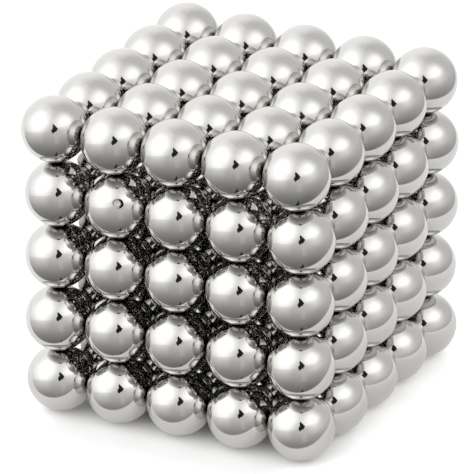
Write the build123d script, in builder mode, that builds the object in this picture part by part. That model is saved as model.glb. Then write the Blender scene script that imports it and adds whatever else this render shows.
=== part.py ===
import math
import os

from build123d import *

# A cube of equal ball magnets that hold each other by their own pull.
# Lengths are in millimetres and angles in degrees.
# +X runs along the front face, +Y to the back and +Z up, from the middle of the cube's underside.

# Driving sizes
BALL_DIAMETER = 5.0     # one plated ball
CONTACT_GAP = 0.01      # slack between two balls that meet, because their plating varies
BALLS_PER_ROW = 5       # along X
ROWS_PER_LAYER = 5      # along Y
LAYERS = 5              # along Z

# A cube stacked by hand is never quite square.
# How far each row has slid along X, from the front row to the back one
ROW_SLIDES = (-0.10, 0.05, 0.05, 0.00, 0.05)
# How far each layer has slid along X and Y, and its turn about Z, from the top layer down
LAYER_SLIDES = (
    (0.05, -0.05, -0.6),
    (0.15, 0.00, 0.1),
    (0.05, 0.00, -0.1),
    (-0.05, -0.10, 0.4),
    (-0.15, 0.10, 0.2),
)

# One ball has a small round dent in its plating
DENTED_BALL = (2, 1, 2)  # layer, row and place in the row, each counted from 1
DENT_WIDTH = 0.7
DENT_HOLLOW_RADIUS = 2.0  # how round the hollow is inside
DENT_HEADING = -63.5     # the way the dent faces, turned from +X about Z
DENT_RISE = 25.0         # how far the dent looks up from level

# Sizes that follow from them
BALL_RADIUS = BALL_DIAMETER / 2
PITCH = BALL_DIAMETER + CONTACT_GAP


def dent_punch_centre():
    """Where the round punch that leaves the dent stands, seen from the ball's centre."""
    half_width = DENT_WIDTH / 2
    rim_distance = math.sqrt(BALL_RADIUS**2 - half_width**2)
    distance = rim_distance + math.sqrt(DENT_HOLLOW_RADIUS**2 - half_width**2)
    heading = math.radians(DENT_HEADING)
    rise = math.radians(DENT_RISE)
    level = distance * math.cos(rise)
    return (level * math.cos(heading), level * math.sin(heading), distance * math.sin(rise))


def ball_centre(layer, row, place):
    """The middle of one ball, with its row's slide and its layer's slide and turn."""
    x = (place - (BALLS_PER_ROW - 1) / 2) * PITCH + ROW_SLIDES[row % len(ROW_SLIDES)]
    y = (row - (ROWS_PER_LAYER - 1) / 2) * PITCH
    slide_x, slide_y, turn = LAYER_SLIDES[layer % len(LAYER_SLIDES)]
    cos_turn = math.cos(math.radians(turn))
    sin_turn = math.sin(math.radians(turn))
    return (
        cos_turn * x - sin_turn * y + slide_x,
        sin_turn * x + cos_turn * y + slide_y,
        (LAYERS - 1 - layer) * PITCH + BALL_RADIUS,
    )


# The plain ball, pressed and plated as one piece
with BuildPart() as plain_ball:
    Sphere(BALL_RADIUS)

# The ball with the dent
with BuildPart() as dented_ball:
    Sphere(BALL_RADIUS)
    with Locations(dent_punch_centre()):
        Sphere(DENT_HOLLOW_RADIUS, mode=Mode.SUBTRACT)


def ball_row(layer, row):
    """One row of separate balls, side by side along X."""
    balls = []
    for place in range(BALLS_PER_ROW):
        is_dented = (layer + 1, row + 1, place + 1) == DENTED_BALL
        ball = dented_ball.part if is_dented else plain_ball.part
        balls.append(ball.moved(Location(ball_centre(layer, row, place))))
    return Compound(label=f"layer_{layer + 1}_row_{row + 1}", children=balls)


os.makedirs("parts", exist_ok=True)
for layer in range(LAYERS):
    for row in range(ROWS_PER_LAYER):
        magnets = ball_row(layer, row)
        export_step(magnets, f"parts/{magnets.label}.step")
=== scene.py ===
import math

import bmesh
import bpy
from mathutils import Matrix, Vector
from mathutils.kdtree import KDTree


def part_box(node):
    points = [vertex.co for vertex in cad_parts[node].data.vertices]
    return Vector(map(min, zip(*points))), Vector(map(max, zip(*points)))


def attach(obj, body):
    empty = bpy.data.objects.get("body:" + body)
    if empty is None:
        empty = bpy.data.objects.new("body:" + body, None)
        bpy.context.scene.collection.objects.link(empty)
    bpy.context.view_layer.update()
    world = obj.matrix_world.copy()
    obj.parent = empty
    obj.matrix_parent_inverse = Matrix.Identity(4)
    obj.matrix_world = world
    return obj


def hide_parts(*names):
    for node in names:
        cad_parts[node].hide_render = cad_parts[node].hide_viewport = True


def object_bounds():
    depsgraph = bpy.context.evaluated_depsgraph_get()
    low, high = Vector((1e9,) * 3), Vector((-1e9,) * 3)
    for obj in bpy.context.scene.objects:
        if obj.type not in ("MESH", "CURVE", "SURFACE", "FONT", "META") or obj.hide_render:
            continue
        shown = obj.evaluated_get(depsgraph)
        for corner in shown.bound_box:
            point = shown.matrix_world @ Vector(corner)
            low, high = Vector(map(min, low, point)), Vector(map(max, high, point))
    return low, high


# A cube of nickel-plated ball magnets on a white sheet, between two soft windows of light.
# Everything is in metres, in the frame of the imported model: +Z up, the front face along +X.

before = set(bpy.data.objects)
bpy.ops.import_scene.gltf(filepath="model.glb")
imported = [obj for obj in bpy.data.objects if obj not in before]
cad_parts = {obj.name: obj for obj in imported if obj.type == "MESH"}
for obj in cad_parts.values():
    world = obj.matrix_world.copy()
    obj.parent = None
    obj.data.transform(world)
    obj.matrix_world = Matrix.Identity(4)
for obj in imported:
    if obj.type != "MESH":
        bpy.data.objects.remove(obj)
cad_low, cad_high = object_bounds()

MM = 0.001


# Sizes read from the frame

def ball_diameter(node):
    """A row of balls is as high as one ball."""
    low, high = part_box(node)
    return high.z - low.z


def ball_middles(node):
    """The middle of each ball in one row, from left to right."""
    low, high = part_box(node)
    count = round((high.x - low.x) / (high.z - low.z))
    step = (high.x - low.x) / count
    corners = [vertex.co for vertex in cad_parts[node].data.vertices]
    middles = []
    for place in range(count):
        left = low.x + place * step
        own = [corner for corner in corners if left <= corner.x < left + step]
        lowest = Vector(min(corner[axis] for corner in own) for axis in range(3))
        highest = Vector(max(corner[axis] for corner in own) for axis in range(3))
        middles.append((lowest + highest) / 2)
    return middles


ROWS = sorted(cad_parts)
BALL_DIAMETER = ball_diameter(ROWS[0])
BALL_RADIUS = BALL_DIAMETER / 2
MIDDLES = {node: ball_middles(node) for node in ROWS}

# The one dented ball, as in the part's source
DENTED_ROW = "layer_2_row_1"
DENTED_PLACE = 1         # counted from 0
DENT_WIDTH = 0.7 * MM
DENT_HOLLOW_RADIUS = 2.0 * MM
DENT_HEADING = math.radians(-63.5)
DENT_RISE = math.radians(25.0)
DENT_FACING = Vector((
    math.cos(DENT_RISE) * math.cos(DENT_HEADING),
    math.cos(DENT_RISE) * math.sin(DENT_HEADING),
    math.sin(DENT_RISE),
))


# Node trees

class Nodes:
    """A node tree with one method that adds any node."""

    def __init__(self, tree):
        self.tree = tree
        tree.nodes.clear()

    def add(self, kind, settings=None, sockets=None, out=0):
        """Adds a node, makes its settings, feeds its sockets and gives one of its outputs."""
        node = self.tree.nodes.new(kind)
        for name, value in (settings or {}).items():
            setattr(node, name, value)
        for key, value in (sockets or {}).items():
            self.feed(node.inputs[key], value)
        return Link(self, node.outputs[out]) if node.outputs else node

    def feed(self, socket, value):
        """Sets a socket, or links it."""
        if isinstance(value, Link):
            self.tree.links.new(value.socket, socket)
        else:
            socket.default_value = value


class Link:
    """An output socket. Python arithmetic on it adds Math nodes."""

    def __init__(self, nodes, socket):
        self.nodes = nodes
        self.socket = socket

    def math(self, operation, *values):
        return self.nodes.add("ShaderNodeMath", {"operation": operation}, dict(enumerate(values)))

    def other(self, name):
        """Another output of the same node."""
        return Link(self.nodes, self.socket.node.outputs[name])

    def __add__(self, value):
        return self.math("ADD", self, value)

    def __radd__(self, value):
        return self.math("ADD", value, self)

    def __sub__(self, value):
        return self.math("SUBTRACT", self, value)

    def __rsub__(self, value):
        return self.math("SUBTRACT", value, self)

    def __mul__(self, value):
        return self.math("MULTIPLY", self, value)

    def __rmul__(self, value):
        return self.math("MULTIPLY", value, self)

    def __truediv__(self, value):
        return self.math("DIVIDE", self, value)

    def __rtruediv__(self, value):
        return self.math("DIVIDE", value, self)

    def __pow__(self, value):
        return self.math("POWER", self, value)

    def largest(self, value):
        return self.math("MAXIMUM", self, value)

    def smallest(self, value):
        return self.math("MINIMUM", self, value)

    def size(self):
        return self.math("ABSOLUTE", self)

    def step(self, low, high, to_low=0.0, to_high=1.0):
        """Eases from to_low to to_high as the value goes from low to high."""
        settings = {"interpolation_type": "SMOOTHSTEP"}
        ends = {0: self, 1: low, 2: high, 3: to_low, 4: to_high}
        return self.nodes.add("ShaderNodeMapRange", settings, ends)


# Meshes

ROUNDNESS = 5            # subdivisions of a ball
SPREAD_SEED = 7


def socket_id(tree, name):
    """The identifier by which a modifier knows a named input."""
    return next(item.identifier for item in tree.interface.items_tree if item.name == name)


def balls_tree():
    """A tree that puts a ball on every point it is given, each turned its own way."""
    tree = bpy.data.node_groups.new("Balls on points", "GeometryNodeTree")
    face = tree.interface
    face.new_socket("Points", in_out="INPUT", socket_type="NodeSocketGeometry")
    face.new_socket("Ball radius", in_out="INPUT", socket_type="NodeSocketFloat")
    face.new_socket("Roundness", in_out="INPUT", socket_type="NodeSocketInt")
    face.new_socket("Spread seed", in_out="INPUT", socket_type="NodeSocketInt")
    face.new_socket("Plating", in_out="INPUT", socket_type="NodeSocketMaterial")
    face.new_socket("Balls", in_out="OUTPUT", socket_type="NodeSocketGeometry")
    nodes = Nodes(tree)
    given = nodes.add("NodeGroupInput")
    ball = nodes.add("GeometryNodeMeshIcoSphere", sockets={
        "Radius": given.other("Ball radius"),
        "Subdivisions": given.other("Roundness"),
    })
    smooth = nodes.add("GeometryNodeSetShadeSmooth", sockets={"Geometry": ball})
    turn = nodes.add("FunctionNodeRandomValue", {"data_type": "FLOAT_VECTOR"}, {
        1: (math.tau, math.tau, math.tau),
        "Seed": given.other("Spread seed"),
    })
    placed = nodes.add("GeometryNodeInstanceOnPoints", sockets={
        "Points": given.other("Points"),
        "Instance": smooth,
        "Rotation": turn,
    })
    real = nodes.add("GeometryNodeRealizeInstances", sockets={"Geometry": placed})
    plated = nodes.add("GeometryNodeSetMaterial", sockets={
        "Geometry": real,
        "Material": given.other("Plating"),
    })
    nodes.add("NodeGroupOutput", sockets={"Balls": plated})
    return tree


def points_object(name, points):
    """An object that holds loose points only."""
    mesh = bpy.data.meshes.new(name)
    mesh.from_pydata(points, [], [])
    thing = bpy.data.objects.new(name, mesh)
    bpy.context.scene.collection.objects.link(thing)
    return thing


def grow_balls(thing, tree, seed, plating):
    """Turns an object's points into balls, as a plain mesh."""
    grow = thing.modifiers.new("Balls", "NODES")
    grow.node_group = tree
    grow[socket_id(tree, "Ball radius")] = BALL_RADIUS
    grow[socket_id(tree, "Roundness")] = ROUNDNESS
    grow[socket_id(tree, "Spread seed")] = seed
    grow[socket_id(tree, "Plating")] = plating
    bpy.context.view_layer.update()
    shaped = thing.evaluated_get(bpy.context.evaluated_depsgraph_get())
    grown = bpy.data.meshes.new_from_object(shaped)
    grown.materials.clear()
    grown.materials.append(plating)
    thing.modifiers.clear()
    thing.data = grown


SHARP_LIP_RADIUS = 0.02 * MM
RIGHT_LIP_RADIUS = 1.25 * MM
LEFT_LIP_RADIUS = 0.15 * MM
LIP_FADE = 1.5           # how fast the rolled lips give way to the sharp one above and below
DENT_RINGS = 10
LIP_RINGS = 12
BALL_RINGS = 56
RING_SIDES = 96


def dent_punch_height():
    """How far from the ball's middle the hollow's own middle lies, along the dent's axis."""
    half_width = DENT_WIDTH / 2
    rim_height = math.sqrt(BALL_RADIUS**2 - half_width**2)
    return rim_height + math.sqrt(DENT_HOLLOW_RADIUS**2 - half_width**2)


def lip_radius(angle):
    """The dent's lip is rolled over on the right, a little on the left, and sharp above and below."""
    rightness = max(0.0, math.cos(angle))**LIP_FADE
    leftness = max(0.0, -math.cos(angle))**LIP_FADE
    right = (RIGHT_LIP_RADIUS - SHARP_LIP_RADIUS) * rightness
    left = (LEFT_LIP_RADIUS - SHARP_LIP_RADIUS) * leftness
    return SHARP_LIP_RADIUS + right + left


def arc(middle_out, middle_height, radius, first, last, steps):
    """Points of an arc in the dented ball's section. Angles are from the axis."""
    points = []
    for step in range(steps + 1):
        angle = first + (last - first) * step / steps
        points.append((middle_out + radius * math.sin(angle), middle_height + radius * math.cos(angle)))
    return points


def dented_outline(lip):
    """Half the dented ball's section, as (distance from its axis, height), from the dent outwards."""
    punch = dent_punch_height()
    inner = BALL_RADIUS - lip
    outer = DENT_HOLLOW_RADIUS + lip
    lip_height = (inner**2 - outer**2 + punch**2) / (2 * punch)
    lip_out = math.sqrt(inner**2 - lip_height**2)
    hollow_angle = math.atan2(lip_out, punch - lip_height)
    ball_angle = math.atan2(lip_out, lip_height)
    hollow = arc(0.0, punch, DENT_HOLLOW_RADIUS, math.pi, math.pi - hollow_angle, DENT_RINGS)
    edge = arc(lip_out, lip_height, lip, -hollow_angle, ball_angle, LIP_RINGS)
    ball = arc(0.0, 0.0, BALL_RADIUS, ball_angle, math.pi, BALL_RINGS)
    return hollow + edge[1:] + ball[1:]


def add_dented_ball(mesh, middle):
    """Sweeps the dented ball's section round the dent's axis, and adds it to a mesh."""
    shape = bmesh.new()
    shape.from_mesh(mesh)
    right = Vector((0, 0, 1)).cross(DENT_FACING).normalized()
    up = DENT_FACING.cross(right)
    angles = [math.tau * side / RING_SIDES for side in range(RING_SIDES)]
    outlines = [dented_outline(lip_radius(angle)) for angle in angles]
    last = len(outlines[0]) - 1
    rings = []
    for number in range(last + 1):
        ring = []
        for angle, outline in zip(angles, outlines):
            out, height = outline[number]
            sideways = right * math.cos(angle) + up * math.sin(angle)
            ring.append(shape.verts.new(middle + sideways * out + DENT_FACING * height))
            if number in (0, last):
                break
        rings.append(ring)
    added = []
    for upper, lower in zip(rings, rings[1:]):
        for side in range(RING_SIDES):
            following = (side + 1) % RING_SIDES
            corners = [upper[side % len(upper)], lower[side % len(lower)]]
            corners += [lower[following % len(lower)], upper[following % len(upper)]]
            added.append(shape.faces.new(dict.fromkeys(corners)))
    bmesh.ops.recalc_face_normals(shape, faces=added)
    for face in added:
        face.smooth = True
    shape.to_mesh(mesh)
    shape.free()


# Where the painted shade between the balls and deep inside the cube falls
CREVICE_REACH = 1.15     # in ball radii from the next ball's middle, where 1 is its surface
OPEN_TOP = 0.6           # the painted shade inside begins deeper below the open top than behind the sides
INSIDE_START = 2.0 * MM  # depth in the cube at which the painted shade inside begins
INSIDE_FULL = 4.5 * MM


def middles_tree():
    """A search tree of the middles of all balls."""
    every = [middle for row in MIDDLES.values() for middle in row]
    middles = KDTree(len(every))
    for number, middle in enumerate(every):
        middles.insert(middle, number)
    middles.balance()
    return middles


def mark_crevices(mesh, middles):
    """Stores how close each point lies to the next ball: 1 where they touch, 0 out in the open."""
    closeness = []
    for vertex in mesh.vertices:
        next_ball = middles.find_n(vertex.co, 2)[1]
        gap = next_ball[2] / BALL_RADIUS
        closeness.append(max(0.0, (CREVICE_REACH - gap) / (CREVICE_REACH - 1.0)))
    mesh.attributes.new("crevice", "FLOAT", "POINT").data.foreach_set("value", closeness)


def mark_inside(mesh):
    """Stores how deep each point lies in the cube: 0 near its faces, 1 well inside."""
    shares = []
    for vertex in mesh.vertices:
        x, y, z = vertex.co
        sides = min(x - cad_low.x, cad_high.x - x, y - cad_low.y, cad_high.y - y)
        depth = min(sides, z - cad_low.z, (cad_high.z - z) * OPEN_TOP)
        share = (depth - INSIDE_START) / (INSIDE_FULL - INSIDE_START)
        shares.append(min(max(share, 0.0), 1.0))
    mesh.attributes.new("inside", "FLOAT", "POINT").data.foreach_set("value", shares)


def make_row(node, tree, seed, plating, all_middles):
    """Makes the smooth balls that stand for one row of the model."""
    middles = list(MIDDLES[node])
    dented = [middles.pop(DENTED_PLACE)] if node == DENTED_ROW else []
    balls = points_object(node + "_balls", middles)
    grow_balls(balls, tree, seed, plating)
    for middle in dented:
        add_dented_ball(balls.data, middle)
    mark_crevices(balls.data, all_middles)
    mark_inside(balls.data)
    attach(balls, "root")
    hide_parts(node)


# Materials

NICKEL = (0.617, 0.607, 0.589, 1)
# the colour of the painted shade between the balls and deep inside the cube
PAINTED_SHADE_COLOUR = (0.12, 0.115, 0.11, 1)
INSIDE_SHADE_SHARE = 0.33       # the share of painted shade deep inside the cube
CLEAR_POLISH = 0.048     # roughness where the plating is clearest
HAZY_POLISH = 0.09       # and where it is haziest
DENT_ROUGHNESS = 0.25    # what the crushed floor of the dent adds to it
DENT_MIDDLE = MIDDLES[DENTED_ROW][DENTED_PLACE] + DENT_FACING * BALL_RADIUS
CRUSHED_EDGE = (0.2 * MM, 0.3 * MM)  # the crushed floor of the dent ends between these radii
HAZE_SCALE = 900.0       # clouds of haze per metre
HAZE_RANGE = (0.35, 0.75)     # the noise at which the haze is thinnest and thickest
SHADE_NOISE_RANGE = (0.2, 0.8)    # the same for the painted shade
THINNEST_SHADE = 0.8       # the share of painted shade where it is thinnest
GRAIN_SCALE = 14000.0    # crushed grains per metre
GRAIN_DEPTH = 0.02 * MM
GRAIN_RELIEF = 2.5       # how far the grains stand out, in grain depths
GRAIN_STRENGTH = 0.5


def nickel_plating():
    """Bright nickel with faint haze, crushed in the dent, with painted shade where two balls touch and deep
    inside the cube.
    """
    material = bpy.data.materials.new("Nickel plating")
    material.use_nodes = True
    nodes = Nodes(material.node_tree)
    place = nodes.add("ShaderNodeTexCoord", out="Object")
    haze = nodes.add("ShaderNodeTexNoise", sockets={"Vector": place, "Scale": HAZE_SCALE, "Detail": 3.0})
    grains = nodes.add("ShaderNodeTexNoise", sockets={"Vector": place, "Scale": GRAIN_SCALE, "Detail": 2.0})

    near_ball = nodes.add("ShaderNodeAttribute", {"attribute_name": "crevice"}, out="Fac")
    inside = nodes.add("ShaderNodeAttribute", {"attribute_name": "inside"}, out="Fac")
    clouds = haze.step(*SHADE_NOISE_RANGE, THINNEST_SHADE, 1.0)
    # painted shade: darker where two balls touch and deep inside the cube, varied in clouds
    painted_shade_share = near_ball.step(0.0, 1.0).largest(inside.step(0.0, 1.0, 0.0, INSIDE_SHADE_SHARE)) * clouds
    colours = {"Factor": painted_shade_share, 6: NICKEL, 7: PAINTED_SHADE_COLOUR}
    colour = nodes.add("ShaderNodeMix", {"data_type": "RGBA"}, colours, out=2)

    ends = {0: place, 1: DENT_MIDDLE}
    from_dent = nodes.add("ShaderNodeVectorMath", {"operation": "DISTANCE"}, ends, out="Value")
    crushed = from_dent.step(*CRUSHED_EDGE, 1.0, 0.0)
    roughness = haze.step(*HAZE_RANGE, CLEAR_POLISH, HAZY_POLISH) + crushed * DENT_ROUGHNESS

    bumpy = nodes.add("ShaderNodeBump", sockets={
        "Height": grains * crushed * GRAIN_RELIEF,
        "Strength": GRAIN_STRENGTH,
        "Distance": GRAIN_DEPTH,
    })
    metal = nodes.add("ShaderNodeBsdfPrincipled", sockets={
        "Base Color": colour,
        "Metallic": 1.0,
        "Roughness": roughness,
        "Normal": bumpy,
    })
    nodes.add("ShaderNodeOutputMaterial", sockets={"Surface": metal})
    return material


# Stage

VIEW_HEADING = math.radians(27.98)  # of the camera, from the front towards the right
VIEW_RISE = math.radians(24.05)
VIEW_ROLL = math.radians(-1.03)
VIEW_DISTANCE = 533.6 * MM
VIEW_AIM = Vector((-0.27, -0.44, 11.94)) * MM
FOCAL_LENGTH = 545.9
SENSOR_WIDTH = 36.0
NEAREST_SEEN = 10 * MM
FARTHEST_SEEN = 20.0


def direction(heading, rise):
    """A unit vector. Heading 0 points to the front and grows to the right."""
    return Vector((
        math.cos(rise) * math.sin(heading),
        -math.cos(rise) * math.cos(heading),
        math.sin(rise),
    ))


def add_camera():
    data = bpy.data.cameras.new("Camera")
    data.sensor_width = SENSOR_WIDTH
    data.lens = FOCAL_LENGTH
    data.clip_start = NEAREST_SEEN
    data.clip_end = FARTHEST_SEEN
    camera = bpy.data.objects.new("Camera", data)
    towards = direction(VIEW_HEADING, VIEW_RISE)
    camera.location = VIEW_AIM + towards * VIEW_DISTANCE
    look = towards.to_track_quat("Z", "Y").to_matrix()
    camera.rotation_euler = (look @ Matrix.Rotation(VIEW_ROLL, 3, "Z")).to_euler()
    bpy.context.scene.collection.objects.link(camera)
    bpy.context.scene.camera = camera


def heading_from(nodes, ray, heading):
    """How many degrees a ray points to the right of a heading. 0 is the heading of the camera."""
    def along(axis):
        settings = {"operation": "DOT_PRODUCT"}
        return nodes.add("ShaderNodeVectorMath", settings, {0: ray, 1: tuple(axis)}, out="Value")

    ahead = direction(VIEW_HEADING + math.radians(heading), 0.0)
    aside = direction(VIEW_HEADING + math.radians(heading + 90.0), 0.0)
    return along(aside).math("ARCTAN2", along(aside), along(ahead)) * math.degrees(1.0)


class Glow:
    """A soft patch of light, or of shade, in degrees to the camera's right and above the cube's base."""

    def __init__(self, heading, rise, half_width, half_height, softness, tilt, strength):
        self.heading = heading
        self.rise = rise
        self.half_width = half_width
        self.half_height = half_height
        self.softness = softness
        self.tilt = math.radians(tilt)
        self.strength = strength

    def light(self, nodes, ray, rise):
        """How much light it adds along a ray that climbs by rise degrees."""
        across = heading_from(nodes, ray, self.heading)
        above = rise - self.rise
        over = across * math.cos(self.tilt) + above * math.sin(self.tilt)
        up = above * math.cos(self.tilt) - across * math.sin(self.tilt)
        past_side = (over.size() - self.half_width).largest(0.0)
        past_end = (up.size() - self.half_height).largest(0.0)
        past = (past_side**2.0 + past_end**2.0)**0.5
        return past.step(0.0, self.softness, self.strength, 0.0)


LEAN_RISE = 30.0         # degrees above the base at which a leaning edge is at its stated place


class Window:
    """A wide patch of light with straight edges. Each edge is (place, softness) in degrees.

    The sill climbs to the right by its slope, and the right edge leans over to the right. A share of the
    light may end at a second, crisper sill.
    """

    def __init__(self, left, right, top, sill, slope, strength, lean=0.0, crisp_sill=(0, 1), crisp_share=0.0):
        self.heading = (left[0] + right[0]) / 2
        self.half_width = (right[0] - left[0]) / 2
        self.left_softness = left[1]
        self.right_softness = right[1]
        self.top = top
        self.sill = sill
        self.slope = slope
        self.strength = strength
        self.lean = lean
        self.crisp_sill = crisp_sill
        self.crisp_share = crisp_share

    def light(self, nodes, ray, rise):
        """How much light it adds along a ray that climbs by rise degrees."""
        def past(value, edge, to_low, to_high):
            place, softness = edge
            return value.step(place - softness / 2, place + softness / 2, to_low, to_high)

        across = heading_from(nodes, ray, self.heading)
        leaning = across - (rise - LEAN_RISE) * self.lean
        over_sill = rise - across * self.slope
        light = past(across, (-self.half_width, self.left_softness), 0.0, 1.0)
        light *= past(leaning, (self.half_width, self.right_softness), 1.0, 0.0)
        above = past(over_sill, self.sill, 0.0, 1.0 - self.crisp_share)
        if self.crisp_share:
            above += past(over_sill, self.crisp_sill, 0.0, self.crisp_share)
        return light * above * past(rise, self.top, self.strength, 0.0)


ROOM_LIGHT = 0.777
CEILING_LIGHT = 0.11     # what the ceiling adds straight above
CEILING_START = 58.0     # degrees above the base
CEILING_END = 98.0
GROUND_TOP = 0.168       # the height, on a sphere of radius 1, below which the room darkens
GROUND_FALL = 0.5        # the light that is lost per unit of height below that
LEFT_WINDOW = Window(
    left=(-101, 54), right=(-26, 85), top=(65.4, 51), sill=(16, 51), slope=0.3, strength=1.05,
    crisp_sill=(1.6, 3), crisp_share=0.27,
)
LEFT_CORE = Window(left=(-83, 25), right=(-28, 30), top=(42.8, 18), sill=(-5, 30), slope=0.43, strength=0.25)
LEFT_CEILING = Glow(heading=-52, rise=64, half_width=70, half_height=1, softness=49, tilt=-5, strength=0.23)
RIGHT_WINDOW = Window(
    left=(36, 58), right=(76, 72), top=(66, 38.6), sill=(5.3, 37.7), slope=0.1, strength=0.63,
    lean=0.13, crisp_sill=(18.5, 5), crisp_share=0.3,
)
RIGHT_CORE = Window(left=(3.3, 30), right=(82, 47), top=(55, 37), sill=(26.2, 14), slope=0.07, strength=0.52)
BACK_WALL = Glow(heading=-149, rise=23, half_width=27, half_height=15, softness=52, tilt=0, strength=0.47)
RIGHT_SHADE = Glow(heading=57, rise=-30, half_width=6, half_height=16, softness=50, tilt=-15, strength=-0.06)
LEFT_LOW = Glow(heading=-71, rise=-9, half_width=18, half_height=5, softness=30, tilt=15, strength=0.16)
STAND = Window(left=(1, 4), right=(15, 14), top=(0, 20), sill=(-30, 8), slope=0.0, strength=0.08)
LIGHTS = (
    LEFT_WINDOW, LEFT_CORE, LEFT_CEILING, LEFT_LOW, RIGHT_WINDOW, RIGHT_CORE, RIGHT_SHADE, BACK_WALL, STAND,
)


def add_world():
    """White to the camera. To all else a pale room with two windows, and a ground that darkens downwards."""
    world = bpy.data.worlds.new("Studio")
    world.use_nodes = True
    nodes = Nodes(world.node_tree)
    ray = nodes.add("ShaderNodeTexCoord", out="Generated")
    height = nodes.add("ShaderNodeSeparateXYZ", sockets={0: ray}, out="Z")
    rise = height.math("ARCSINE", height) * math.degrees(1.0)
    below = (GROUND_TOP - height).largest(0.0)
    ceiling = rise.step(CEILING_START, CEILING_END, 0.0, CEILING_LIGHT)
    light = ROOM_LIGHT - below * GROUND_FALL + ceiling
    for patch in LIGHTS:
        light += patch.light(nodes, ray, rise)
    studio = nodes.add("ShaderNodeBackground", sockets={"Color": (1, 1, 1, 1), "Strength": light})
    white = nodes.add("ShaderNodeBackground", sockets={"Color": (1, 1, 1, 1), "Strength": 1.0})
    seen = nodes.add("ShaderNodeLightPath", out="Is Camera Ray")
    mixed = nodes.add("ShaderNodeMixShader", sockets={0: seen, 1: studio, 2: white})
    nodes.add("ShaderNodeOutputWorld", sockets={"Surface": mixed})
    bpy.context.scene.world = world


FLOOR_SIZE = 6.0
PAPER_WHITE = 0.63
PAPER_GLOW = 0.3         # lifts the white that the metal mirrors, but not under the cube
LEFT_GLOW = 0.13         # what the sheet is brighter by to the left of the cube
LEFT_GLOW_START = -12.0 * MM
LEFT_GLOW_FULL = -30.0 * MM
SHADED_HALF = 8.5 * MM   # half the width of the dark square under the cube
SHADED_BLUR = 0.8 * MM
SEEN_WHITE = 0.69        # half of the white that the camera sees, where open paper is past white
FRONT_SHADE = 0.56       # how much of one half is missing in the shadow before the front face
FRONT_SHADE_SIDE = (8.5 * MM, 13.5 * MM)      # each of these is (start, end) of a soft edge
FRONT_SHADE_FRONT = (-19.5 * MM, -13.5 * MM)
FRONT_SHADE_BACK = (-7.0 * MM, -2.0 * MM)
SHEET_FRONT = -13.8 * MM
SHEET_RIGHT = 41.0 * MM
SHEET_CORNER_WIDTH = 34.0 * MM
SHEET_CORNER_DEPTH = 51.0 * MM
FRONT_BLUR = 0.012       # how soft the sheet's edge is at the front, in corner sizes
SIDE_BLUR = 0.2          # what the side adds to that
SIDE_BLUR_END = 1.2      # how far to the side the blur still grows, in corner widths


def floor_material():
    """A white floor. Metal mirrors only a sheet of it, and the ground past the sheet's rounded corner."""
    material = bpy.data.materials.new("White floor")
    material.use_nodes = True
    nodes = Nodes(material.node_tree)
    place = nodes.add("ShaderNodeTexCoord", out="Object")
    split = nodes.add("ShaderNodeSeparateXYZ", sockets={0: place})
    x = split.other("X")
    y = split.other("Y")

    past_side = (x - (SHEET_RIGHT - SHEET_CORNER_WIDTH)).largest(0.0) / SHEET_CORNER_WIDTH
    past_front = ((SHEET_FRONT + SHEET_CORNER_DEPTH) - y).largest(0.0) / SHEET_CORNER_DEPTH
    past = (past_side**2.0 + past_front**2.0)**0.5 - 1.0
    blur = FRONT_BLUR + past_side.smallest(SIDE_BLUR_END)**2.0 * SIDE_BLUR
    on_sheet = 1.0 - (past / blur + 0.5).step(0.0, 1.0)

    from_middle = x.size().largest(y.size())
    lit = from_middle.step(SHADED_HALF - SHADED_BLUR, SHADED_HALF + SHADED_BLUR)
    glow = lit * x.step(LEFT_GLOW_FULL, LEFT_GLOW_START, PAPER_GLOW + LEFT_GLOW, PAPER_GLOW)
    white = (PAPER_WHITE, PAPER_WHITE, PAPER_WHITE, 1)
    paper = nodes.add("ShaderNodeBsdfPrincipled", sockets={
        "Base Color": white,
        "Roughness": 1.0,
        "Specular IOR Level": 0.0,
        "Emission Color": glow,
        "Emission Strength": 1.0,
    })
    clear = nodes.add("ShaderNodeBsdfTransparent")
    mirrored = nodes.add("ShaderNodeMixShader", sockets={0: on_sheet, 1: clear, 2: paper})
    half = nodes.add("ShaderNodeBsdfDiffuse", sockets={"Color": (SEEN_WHITE, SEEN_WHITE, SEEN_WHITE, 1)})
    bright = nodes.add("ShaderNodeAddShader", sockets={0: half, 1: half})
    along_front = x.size().step(*FRONT_SHADE_SIDE, FRONT_SHADE, 0.0)
    before_front = along_front * y.step(*FRONT_SHADE_FRONT) * y.step(*FRONT_SHADE_BACK, 1.0, 0.0)
    shaded = nodes.add("ShaderNodeMixShader", sockets={0: before_front, 1: bright, 2: half})
    seen = nodes.add("ShaderNodeLightPath", out="Is Camera Ray")
    mixed = nodes.add("ShaderNodeMixShader", sockets={0: seen, 1: mirrored, 2: shaded})
    nodes.add("ShaderNodeOutputMaterial", sockets={"Surface": mixed})
    return material


def add_floor():
    mesh = bpy.data.meshes.new("Floor")
    half = FLOOR_SIZE / 2
    corners = [(-half, -half, 0), (half, -half, 0), (half, half, 0), (-half, half, 0)]
    mesh.from_pydata(corners, [], [(0, 1, 2, 3)])
    floor = bpy.data.objects.new("Floor", mesh)
    mesh.materials.append(floor_material())
    bpy.context.scene.collection.objects.link(floor)


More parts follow.
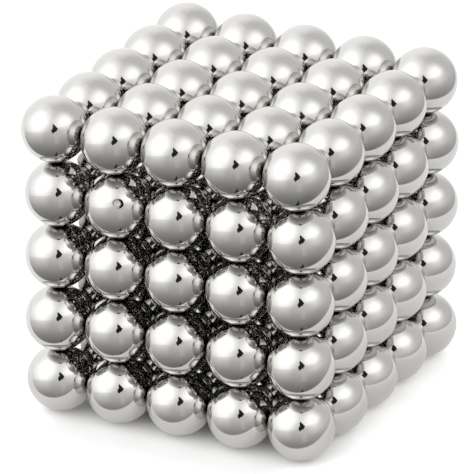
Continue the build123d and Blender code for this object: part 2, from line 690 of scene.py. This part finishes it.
CAMERA_HALF_WIDTH = 114 * MM
CAMERA_HALF_HEIGHT = 145 * MM
CAMERA_OUTLINE = (       # (x, y) in half widths and half heights
    (-0.26, 1.15), (-0.55, 0.75), (-0.42, 0.2), (-0.86, -0.28), (-0.8, -0.7), (-0.4, -1.1), (0.0, -0.74),
    (0.45, -0.62), (0.77, -0.3), (1.05, 0.05), (0.7, 0.3), (0.39, 0.61), (0.04, 0.84),
)
CAMERA_SHAPE_DISTANCE = VIEW_DISTANCE * 1.02
MIRRORED_BLACK = (0.03, 0.03, 0.03, 1)
FOOT_HEADING = math.radians(7.0)
FOOT_TOP_RISE = math.radians(-58.0)
FOOT_END_RISE = math.radians(-84.0)
FOOT_DISTANCE = 500 * MM
FOOT_HALF_WIDTH = 44 * MM


def add_mirrored_shape(name, corners, faces):
    """A dark thing of the studio, which only the metal mirrors."""
    mesh = bpy.data.meshes.new(name)
    mesh.from_pydata(corners, [], faces)
    shape = bpy.data.objects.new(name, mesh)
    material = bpy.data.materials.new(name + " black")
    material.use_nodes = True
    nodes = Nodes(material.node_tree)
    black = nodes.add("ShaderNodeBsdfDiffuse", sockets={"Color": MIRRORED_BLACK})
    nodes.add("ShaderNodeOutputMaterial", sockets={"Surface": black})
    mesh.materials.append(material)
    bpy.context.scene.collection.objects.link(shape)
    shape.visible_camera = False
    shape.visible_shadow = False
    shape.visible_diffuse = False
    return shape


def add_camera_shape():
    """The dark shape of the camera itself, which each ball mirrors."""
    corners = [(x * CAMERA_HALF_WIDTH, y * CAMERA_HALF_HEIGHT, 0.0) for x, y in CAMERA_OUTLINE]
    shape = add_mirrored_shape("Camera shape", corners, [tuple(range(len(corners)))])
    towards = direction(VIEW_HEADING, VIEW_RISE)
    shape.location = VIEW_AIM + towards * CAMERA_SHAPE_DISTANCE
    shape.rotation_euler = towards.to_track_quat("Z", "Y").to_euler()


def add_stand_foot():
    """The dark foot of the camera's stand, far below the sheet, narrow at its top."""
    heading = VIEW_HEADING + FOOT_HEADING
    top = direction(heading, FOOT_TOP_RISE) * FOOT_DISTANCE
    end = direction(heading, FOOT_END_RISE) * FOOT_DISTANCE
    aside = direction(heading + math.pi / 2, 0.0) * FOOT_HALF_WIDTH
    add_mirrored_shape("Stand foot", [top, end - aside, end + aside], [(0, 1, 2)])


# Scene

plating = nickel_plating()
tree = balls_tree()
all_middles = middles_tree()
for number, node in enumerate(ROWS):
    make_row(node, tree, SPREAD_SEED + number, plating, all_middles)

add_camera()
add_world()
add_floor()
add_camera_shape()
add_stand_foot()
bpy.context.scene.view_settings.view_transform = "Standard"
